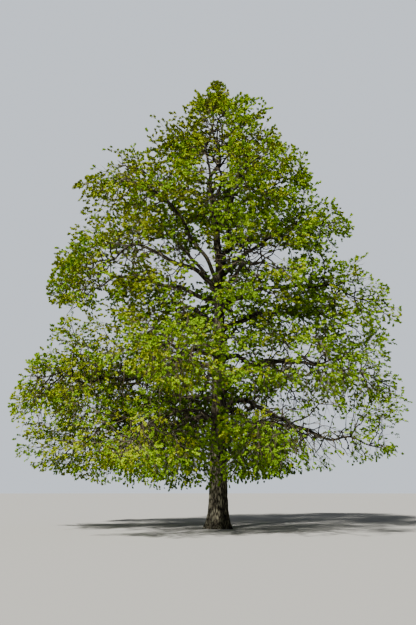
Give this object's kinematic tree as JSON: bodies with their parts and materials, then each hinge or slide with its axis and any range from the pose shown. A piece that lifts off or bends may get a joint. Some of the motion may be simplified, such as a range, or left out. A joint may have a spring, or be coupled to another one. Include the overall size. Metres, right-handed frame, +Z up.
{
  "type": "oak tree",
  "caption": "Mature open-grown oak in young spring leaf: upright tapering trunk, rising, level and drooping boughs, and a broad conical crown that hangs almost to the ground.",
  "frame": {"origin": "centre of the flat cut under the trunk, at ground level", "axes": "+Z up, +X towards the right of the picture, +Y away from the camera that took it"},
  "size_m": [17.5118, 17.3516, 23.0554],
  "materials": {
    "bark": "rough",
    "foliage": "matte"
  },
  "bodies": {
    "root": {"trunk": "bark", "bough_skirt_1": "bark", "bough_skirt_2": "bark", "bough_skirt_3": "bark", "bough_skirt_4": "bark", "bough_skirt_5": "bark", "bough_skirt_6": "bark", "bough_lower_1": "bark", "bough_lower_2": "bark", "bough_lower_3": "bark", "bough_lower_4": "bark", "bough_lower_5": "bark", "bough_lower_6": "bark", "bough_lower_7": "bark", "bough_middle_1": "bark", "bough_middle_2": "bark", "bough_middle_3": "bark", "bough_middle_4": "bark", "bough_middle_5": "bark", "bough_middle_6": "bark", "bough_middle_7": "bark", "bough_upper_1": "bark", "bough_upper_2": "bark", "bough_upper_3": "bark", "bough_upper_4": "bark", "bough_upper_5": "bark", "foliage_skirt_1": "foliage", "foliage_skirt_2": "foliage", "foliage_skirt_3": "foliage", "foliage_skirt_4": "foliage", "foliage_skirt_5": "foliage", "foliage_skirt_6": "foliage", "foliage_lower_1": "foliage", "foliage_lower_2": "foliage", "foliage_lower_3": "foliage", "foliage_lower_4": "foliage", "foliage_lower_5": "foliage", "foliage_lower_6": "foliage", "foliage_lower_7": "foliage", "foliage_middle_1": "foliage", "foliage_middle_2": "foliage", "foliage_middle_3": "foliage", "foliage_middle_4": "foliage", "foliage_middle_5": "foliage", "foliage_middle_6": "foliage", "foliage_middle_7": "foliage", "foliage_upper_1": "foliage", "foliage_upper_2": "foliage", "foliage_upper_3": "foliage", "foliage_upper_4": "foliage", "foliage_upper_5": "foliage", "foliage_shoulder_1": "foliage", "foliage_shoulder_2": "foliage", "foliage_shoulder_3": "foliage", "foliage_shoulder_4": "foliage", "foliage_top_1": "foliage", "foliage_top_2": "foliage", "foliage_top_3": "foliage", "foliage_tip": "foliage"}
  },
  "joints": []
}
